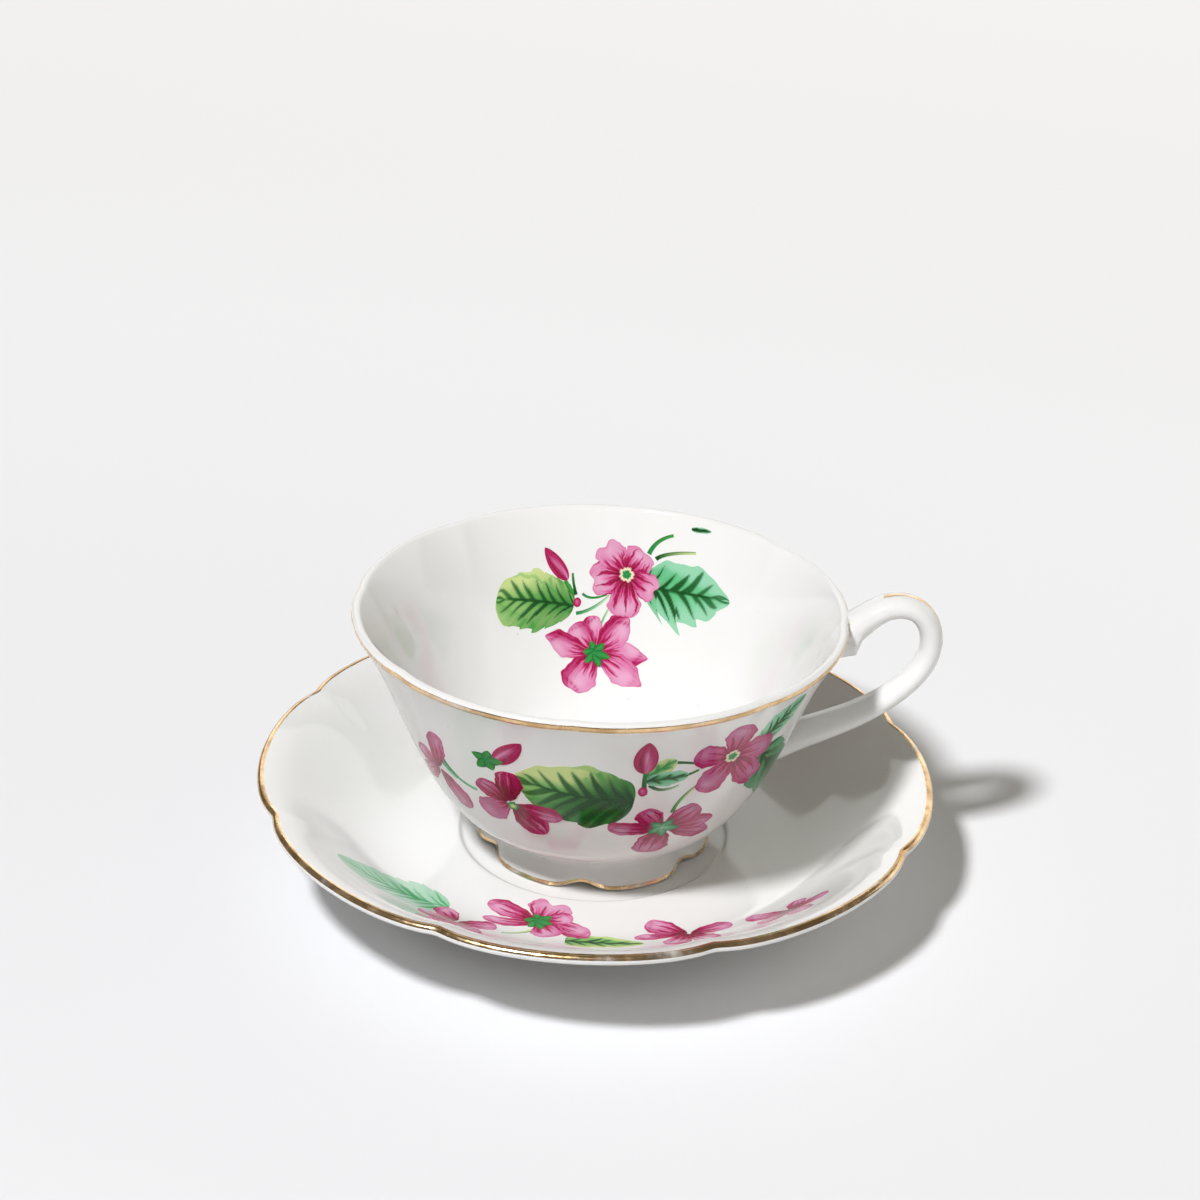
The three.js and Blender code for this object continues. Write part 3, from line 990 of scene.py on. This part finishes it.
def inside_spray():
    """On the far inner wall of the cup: two flowers, two buds and two leaves."""
    open_centre = (5.4, 37.8)
    petals = (
        (193, 8.4, 7.6, dict(notch=0.13, deep=0.42)),
        (130, 8.6, 6.6, dict(notch=0.12, deep=0.34)),
        (54, 6.8, 7.0, dict(notch=0.06, deep=0.42)),
        (-26, 7.8, 6.2, dict(notch=0.12, deep=0.40)),
        (267, 9.6, 7.2, dict(notch=0.04, deep=0.45, belly=0.7)),
    )
    nodding, calyx = nodding_flower((-1.1, 20.2), 40)
    flowers = flower(open_centre, 20, petals) + nodding
    flowers.append(bud((-7.6, 36.3), (-13.2, 43.5), 3.2, 61, FLOWER_LAYER))
    flowers.append(disc((-5.3, 31.3), 0.85, FLOWER_LAYER, bud_paint, tall=1.25))
    leaves = [
        leaf(
            (-6.0, 30.5), 168, 18.6, 13.2, 0, YELLOW_LEAF, 7, 2,
            dict(shade_side=0.2, heavy=0.25), teeth=(6, 0.14, 0.10), blunt=0.40, belly=0.5,
        ),
        leaf(
            (9.2, 35.6), -2, 18.8, 13.2, 1, MINT_LEAF, 6, 4,
            dict(pale_tip=0.8), teeth=(4, 0.06, 0.40), skew=0.5,
            blunt=0.55, belly=0.42, notch=-0.12, bend=2.0,
        ),
        stem([(-4.2, 33.2), (-2, 32.3), (1.2, 33.1)], 0.6, 3),
        stem([(-5.5, 28.9), (-2, 30), (1.8, 32.9)], 0.8, 3, (GREEN_LEAF, GREEN_PALE)),
        stem([(-0.8, 23), (0.3, 27), (2.2, 30.8)], 0.6, 3, (GREEN_MID, GREEN_PALE)),
        stem([(10.2, 42.8), (12.2, 45.7), (15.6, 47.6)], 1.0, 4),
        stem([(11.8, 41.9), (15, 43.5), (21, 44.8)], 0.9, 4, (GREEN_DARK, GREEN_YELLOW)),
        stem([(-5.8, 33.0), (-7.4, 35.0), (-8.3, 37.2)], 1.0, 5, (GREEN_MID, GREEN_MID)),
        stem([(-5.6, 33.0), (-6.2, 35.4), (-6.5, 37.8)], 0.7, 6, (GREEN_DARK, GREEN_MID)),
        leaf((19.7, 49.7), 6, 4.8, 1.3, 4, (GREEN_MINT, GREEN_DARK, GREEN_DARK), 2, 12),
        open_eye(open_centre, HEART_LAYER),
    ]
    return flowers, leaves + calyx


def bud_paint(k, turn):
    colour = mix(PINK_MID, PINK_DEEP, smoothstep(k, 0.3, 1.0))
    return mix(colour, PINK_PALE, 0.5 * smoothstep(np.cos(turn - 2.2), 0.6, 1.0) * (1 - k))


def outside_spray():
    """Round the front of the cup: a big leaf between flowers and buds, and a leaf by the handle."""
    open_centre = (28, 40.9)
    petals = (
        (160, 9.2, 6.8, dict(fold=0.6, deep=0.35)),
        (75, 9.8, 7.6, dict(fold=-0.5, deep=0.35)),
        (-3, 11.0, 7.5, dict(fold=0.4, deep=0.32)),
        (-57, 13.5, 7.4, dict(fold=-0.5, deep=0.4, notch=0.08)),
        (235, 11.2, 7.0, dict(fold=0.5, deep=0.3)),
    )
    # the outer flowers take the darker pink, which holds painted shade of the outer wall
    flowers = flower(open_centre, 80, petals, pale=PINK_SHADED_ROSE)
    low_centre = (13.6, 22.3)
    low_petals = (
        (123, 7.8, 5.4, dict(fold=0.8)),
        (178, 11.0, 4.4, dict(fold=-0.8, bend=-1.2)),
        (252, 10.0, 7.5, dict(fold=0.4)),
        (-28, 12.5, 5.2, dict(fold=-0.5, blunt=0.7)),
        (-4, 11.8, 4.6, dict(fold=0.7, blunt=0.7)),
        (30, 9.4, 6.4, dict(fold=-0.4)),
    )
    flowers += flower(low_centre, 90, low_petals, deep=0.5, pale=PINK_SHADED_ROSE)
    left_petals = (
        (225, 8.4, 7.2, dict(fold=0.0, deep=0.2)),
        (150, 8.4, 5.0, dict(fold=0.5, deep=0.5)),
        (92, 9.6, 6.0, dict(fold=-0.9, deep=0.9)),
        (-12, 11.2, 5.2, dict(fold=0.8, deep=0.5, blunt=0.7)),
        (-48, 11.4, 6.2, dict(fold=-0.8, deep=0.8, blunt=0.65)),
    )
    flowers += flower((-17, 28), 100, left_petals, pale=PINK_SHADED_ROSE)
    side_petals = ((92, 11.5, 5.2), (-48, 12.5, 5.2), (222, 8.5, 5.2), (160, 8.0, 5.0))
    flowers += flower((-35, 29.5), 110, side_petals, deep=0.4, fold=0.5, pale=PINK_SHADED_ROSE)
    flowers.append(bud((9.3, 40.6), (9.6, 50.6), 4.8, 121, FLOWER_LAYER, 0.9))
    flowers.append(bud((-20, 39.6), (-14.2, 47.4), 4.6, 123, FLOWER_LAYER, -0.9))
    flowers.append(disc((9.2, 35), 0.95, FLOWER_LAYER, bud_paint, tall=1.5))
    leaves = [
        leaf(
            (7.6, 31.8), 172, 22.8, 18.4, 0, YELLOW_LEAF, 7, 3,
            dict(shade_side=0.35, heavy=0.9), teeth=(4, 0.06, 0.04),
            blunt=0.5, belly=0.42, notch=-0.06, bend=-1.5,
        ),
        leaf(
            (36, 38), -58, 31, 15, 1, MINT_LEAF, 7, 6,
            dict(heavy=0.4), teeth=(7, 0.12, 0.08), blunt=0.6, belly=0.3,
        ),
        leaf(
            (34, 41), 40, 17, 8, 2, MINT_LEAF, 6, 7,
            dict(pale_tip=0.4), teeth=(7, 0.18, 0.1), blunt=0.6,
        ),
        stem([(14.5, 43.2), (17.2, 42.6), (20, 41.5)], 0.9, 3, (GREEN_DARK, GREEN_LEAF)),
        stem([(13.5, 38.6), (16.8, 38.2), (20.5, 39.4)], 0.9, 3, (GREEN_DARK, GREEN_MID)),
        stem([(10.5, 36.8), (13.0, 35.0), (16.5, 35.6)], 0.9, 3, (GREEN_DARK, GREEN_PALE)),
        stem([(15.5, 27), (17.2, 31), (20.5, 34.5)], 0.9, 3, (GREEN_MID, GREEN_YELLOW)),
        leaf((9.8, 39.3), 40, 7.4, 5.0, 4, YOUNG_LEAF, 3, 8, teeth=(3, 0.1, 0.1)),
        leaf((9.8, 38.2), 2, 8.6, 4.6, 5, DARK_LEAF, 3, 9, teeth=(3, 0.1, 0.1)),
        stem([(9.6, 34), (9.4, 38), (9.7, 42.5)], 1.1, 6, (GREEN_DARK, GREEN_LEAF)),
        stem([(-24.5, 28.7), (-28.3, 29.4), (-32, 31.5)], 0.9, 3, (GREEN_MINT, GREEN_LEAF)),
        stem([(-34, 33.5), (-32.5, 31.8), (-29.5, 29.6)], 2.2, 3, (GREEN_LEAF, GREEN_MINT)),
        open_eye(open_centre, HEART_LAYER, 1.9),
        disc((-16.2, 27.2), 1.2, HEART_LAYER, eye_paint, ragged=0.25, seed=9),
    ]
    bud_tips = ((-25.2, 40.7), (-24, 36.7), (-20.4, 36.9), (-21.5, 42.7), (-18.2, 40.3))
    leaves += star((-21.7, 39.6), bud_tips, 2.6, 6)
    low_tips = ((11.3, 24.4), (15.9, 24.6), (10.7, 21.0), (13.7, 19.2), (17.3, 21.4))
    leaves += star(low_centre, low_tips, 2.2, CALYX_LAYER, (GREEN_MINT, GREEN_LEAF))
    return flowers, leaves


def eye_paint(k, turn):
    return mix(GREEN_YELLOW, GREEN_LEAF, smoothstep(k, 0.2, 0.9))


def saucer_spray():
    """Along the front of the saucer. The parts near its rim are hidden from the front."""
    centre = (-5.0, -13.0)
    petals = (
        (204, 10.8, 3.4, dict(fold=0.6, bend=-3.2)),
        (157, 12.2, 5.0, dict(fold=-0.7, blunt=0.5)),
        (75, 8.2, 8.8, dict(notch=0.22, deep=0.32)),
        (-9, 11.2, 5.2, dict(fold=-0.6, bend=-1.6)),
        (-56, 6.4, 6.6, dict(fold=0.3)),
        (24, 7.0, 4.0, dict(fold=0.5)),
    )
    left = ((127, 7.6, 5.0), (18, 8.2, 4.4), (190, 8.0, 5.0), (250, 8.0, 5.4), (310, 8.0, 5.0))
    right = ((162, 9.6, 5.2), (24, 9.2, 4.4), (195, 11.0, 2.6), (250, 8.0, 5.4), (315, 8.5, 5.0))
    last = ((160, 10.2, 4.4), (215, 8.0, 5.0), (80, 7.0, 4.0), (20, 8.0, 4.2), (290, 8.0, 5.0))
    flowers = flower(centre, 130, petals)
    flowers += flower((-20.5, -20), 140, left, fold=0.5, deep=0.4)
    flowers += flower((25.2, -12.9), 147, right, fold=0.5, deep=0.4)
    flowers += flower((46.0, -10.8), 154, last, fold=0.5, deep=0.4)
    leaves = [
        leaf(
            (-23.5, -13.2), 180, 25, 14.5, 0, FADED_LEAF, 9, 5,
            dict(pale_tip=0.3), teeth=(9, 0.05, 0.14), blunt=0.6, belly=0.4,
        ),
        leaf((1.3, -19.6), 4, 15.5, 6.4, 1, YELLOW_LEAF, 5, 6, teeth=(5, 0.05, 0.05), belly=0.3),
        stem([(-5.4, -16.2), (-8.0, -18.4), (-11.4, -20)], 0.9, 3, (GREEN_YELLOW, GREEN_PALE)),
    ]
    tips = ((-6.0, -10.6), (-2.8, -10.8), (-8.0, -13.0), (-6.8, -15.4), (-4.0, -15.8), (-2.2, -13.6))
    return flowers, leaves + star(centre, tips, 2.2, CALYX_LAYER)


# ---- where a print lies ----

def on_inside(x, y, lift):
    """Far inner wall: y is the height up the wall from the inner hip, x to the right."""
    s = BOWL_SKIN.s[-1] - y
    return BOWL_SKIN.points(90 - np.degrees(x / BOWL_SKIN.radius(s)), s, lift)


def on_outside(middle):
    """Outer wall round a middle angle: y is the height up the wall from the hip."""

    def place(x, y, lift):
        return BOWL_SKIN.points(middle + np.degrees(x / BOWL_SKIN.radius(y)), y, lift)

    return place


SAUCER_PRINT_TURN = -98.0
SAUCER_PRINT_CONE = 30.0  # the print is drawn as a sector of a flat ring with this inner radius


def on_saucer(x, y, lift):
    """Top of the saucer: y falls from 0 at the seat towards the rim."""
    reach = np.hypot(x, SAUCER_PRINT_CONE - y)
    s = reach - SAUCER_PRINT_CONE
    turn = np.arctan2(x, SAUCER_PRINT_CONE - y) * reach / SAUCER_SKIN.radius(s)
    return SAUCER_SKIN.points(SAUCER_PRINT_TURN + np.degrees(turn), s, lift)


def print_piece(name, patches, place, body):
    """All patches of one colour family as thin slabs of enamel on a surface."""
    points, faces, colours = [], [], []
    count = 0
    for patch in patches:
        lift = PRINT_LIFT + PRINT_STEP * patch["layer"]
        rows, columns = patch["x"].shape
        points.append(place(patch["x"], patch["y"], lift).reshape(-1, 3))
        points.append(place(patch["x"], patch["y"], -PRINT_SINK).reshape(-1, 3))
        colours += [patch["colour"].reshape(-1, 3)] * 2
        faces += sheet_faces(rows, columns, count)
        count += 2 * rows * columns
    piece = add_piece(name, np.vstack(points), faces, body, PRINT, sharp=50)
    colour = np.ones((count, 4), np.float32)
    colour[:, :3] = to_linear(np.vstack(colours))
    layer = piece.data.color_attributes.new("paint", "FLOAT_COLOR", "POINT")
    layer.data.foreach_set("color", colour.ravel())


def make_prints():
    sprays = (
        ("cup_inside", inside_spray(), on_inside, "cup"),
        ("cup_front", outside_spray(), on_outside(-90), "cup"),
        ("cup_back", outside_spray(), on_outside(90), "cup"),
        ("saucer", saucer_spray(), on_saucer, "saucer"),
    )
    for name, (flowers, leaves), place, body in sprays:
        print_piece(name + "_flowers", flowers, place, body)
        print_piece(name + "_leaves", leaves, place, body)


# ---- floor, light and camera ----

FLOOR_SIZE = 8000.0
FLOOR_HEIGHT = -0.02  # just clear of the foot ring
FLOOR_PAINTED_SHADE_NEAR = (0.735, 0.74, 0.756)  # darker below the lamp: painted shade that evens out the lamp's stronger light there
FLOOR_PAINTED_LIGHT_FAR = (0.875, 0.88, 0.895)  # lighter away from it, where its light slants: painted light that evens out the floor
FLOOR_PAINTED_TONE_SPAN = (0.30, 0.75)  # metres from below the lamp where the painted tone changes
FLOOR_PAINTED_GLOW = (0.02, 0.29)  # painted light: an emission that lifts the floor near and far, as a lit backdrop would
FLOOR_PAINTED_GLOW_SPAN = (0.45, 1.5)
KEY_PLACE = (-240.0, -365.0, 634.0)
KEY_RADIUS = 45.0
KEY_POWER = 24.7
KEY_COLOUR = (0.99, 0.995, 1.02)
FILL_BRIGHT = (0.80, 0.775, 0.70)  # low, from the right
FILL_DIM = (0.05, 0.037, 0.018)  # high, from the left
FILL_TOWARDS = (0.7, 0.0, -0.7)
ROOM_REFLECTION = (0.16, 0.15, 0.135)  # the dim room that the glaze and the gold mirror
BACKDROP = (0.86, 0.86, 0.86)  # what the camera sees past the floor

CAMERA_TARGET = (-0.3, 114.8, 4.5)
CAMERA_DISTANCE = 633.0
CAMERA_PITCH = 26.3
CAMERA_ROLL = 2.0
CAMERA_LENS = 75.0


def stage_face(name, corners, material):
    item = new_mesh(name, corners, [tuple(range(len(corners)))], material)
    return item


def make_floor():
    nodes = material_nodes("pale_floor")
    ends = {0: nodes.coordinates["Object"], 1: (KEY_PLACE[0] * MM, KEY_PLACE[1] * MM, 0)}
    away = nodes.add("ShaderNodeVectorMath", ends, operation="DISTANCE").outputs["Value"]
    settings = {
        # painted shade and light: the floor's colour is darker below the lamp and lighter away from it,
        # to even out the lamp's light
        "Base Color": nodes.mix(nodes.remap(away, *FLOOR_PAINTED_TONE_SPAN, 0, 1), FLOOR_PAINTED_SHADE_NEAR, FLOOR_PAINTED_LIGHT_FAR),
        "Roughness": 0.9,
        "Specular IOR Level": 0.1,
        "Emission Color": (1, 1, 1, 1),
        # painted light: the floor glows a little, and more so away from the lamp
        "Emission Strength": nodes.remap(away, *FLOOR_PAINTED_GLOW_SPAN, *FLOOR_PAINTED_GLOW),
    }
    shader = nodes.add("ShaderNodeBsdfPrincipled", settings)
    half = FLOOR_SIZE / 2
    signs = ((-1, -1), (1, -1), (1, 1), (-1, 1))
    corners = [(half * x, half * y, FLOOR_HEIGHT) for x, y in signs]
    stage_face("floor", corners, nodes.output(shader.outputs["BSDF"]))


def towards(azimuth, elevation):
    """Unit vector from the object towards a direction of the room."""
    a, e = math.radians(azimuth), math.radians(elevation)
    return Vector((math.cos(a) * math.cos(e), math.sin(a) * math.cos(e), math.sin(e)))


def make_panel(name, azimuth, elevation, distance, width, height, strength):
    """A bright panel that only shows as a reflection in the glaze and the gold."""
    nodes = material_nodes(name + "_light")
    glow = nodes.add("ShaderNodeEmission", {"Color": (1, 0.985, 0.96, 1), "Strength": strength})
    centre = towards(azimuth, elevation) * distance
    facing = (-centre).to_track_quat("Z", "Y").to_matrix()
    right, up = facing.col[0] * width / 2, facing.col[1] * height / 2
    corners = [centre - right - up, centre + right - up, centre + right + up, centre - right + up]
    panel = stage_face(name, corners, nodes.output(glow.outputs["Emission"]))
    panel.visible_camera = False
    panel.visible_diffuse = False
    panel.visible_shadow = False


def make_lamp():
    """One soft lamp, high on the left in front, that is as strong far away as on the object."""
    key = bpy.data.lights.new("key", "POINT")
    key.energy = KEY_POWER
    key.color = KEY_COLOUR
    key.shadow_soft_size = KEY_RADIUS * MM
    key.use_nodes = True
    even = key.node_tree.nodes.new("ShaderNodeLightFalloff")
    even.inputs["Strength"].default_value = 1 / (Vector(KEY_PLACE).length * MM) ** 2
    glow = key.node_tree.nodes["Emission"]
    key.node_tree.links.new(even.outputs["Constant"], glow.inputs["Strength"])
    lamp = bpy.data.objects.new("key", key)
    lamp.location = Vector(KEY_PLACE) * MM
    bpy.context.scene.collection.objects.link(lamp)


def make_panels():
    make_panel("backdrop_reflection", 84, 22, distance=2600, width=3500, height=1150, strength=1.45)
    make_panel("side_reflection", 56, 15, distance=2700, width=4800, height=1800, strength=1.25)


def make_world():
    """Soft fill from low on the right, a dim room in reflections, and a pale one for the camera."""
    nodes = Nodes(bpy.data.worlds.new("studio"))
    direction = {0: nodes.coordinates["Generated"], 1: FILL_TOWARDS}
    facing = nodes.add("ShaderNodeVectorMath", direction, operation="DOT_PRODUCT").outputs["Value"]
    share = nodes.add("ShaderNodeMapRange", {"Value": facing, "From Min": -1}).outputs["Result"]
    colour = nodes.mix(share, FILL_DIM, FILL_BRIGHT)
    rays = nodes.add("ShaderNodeLightPath").outputs
    colour = nodes.mix(rays["Is Glossy Ray"], colour, ROOM_REFLECTION)
    colour = nodes.mix(rays["Is Camera Ray"], colour, BACKDROP)
    background = nodes.add("ShaderNodeBackground", {"Color": colour}).outputs["Background"]
    bpy.context.scene.world = nodes.output(background, "ShaderNodeOutputWorld")


def make_camera():
    camera = bpy.data.objects.new("camera", bpy.data.cameras.new("camera"))
    camera.data.lens = CAMERA_LENS
    camera.data.sensor_width = 36
    camera.data.clip_start = 0.01
    camera.data.clip_end = 50
    pitch = math.radians(CAMERA_PITCH)
    back = Vector((0, -math.cos(pitch), math.sin(pitch)))
    level = Euler((math.pi / 2 - pitch, 0, 0)).to_matrix()
    turn = level @ Matrix.Rotation(math.radians(CAMERA_ROLL), 3, "Z")
    place = (Vector(CAMERA_TARGET) + back * CAMERA_DISTANCE) * MM
    camera.matrix_world = Matrix.Translation(place) @ turn.to_4x4()
    bpy.context.scene.collection.objects.link(camera)
    bpy.context.scene.camera = camera


make_saucer()
make_bowl()
make_foot()
make_handle()
make_gold()
make_handle_gold()
make_prints()
make_floor()
make_lamp()
make_panels()
make_world()
make_camera()
bpy.context.scene.view_settings.view_transform = "Standard"
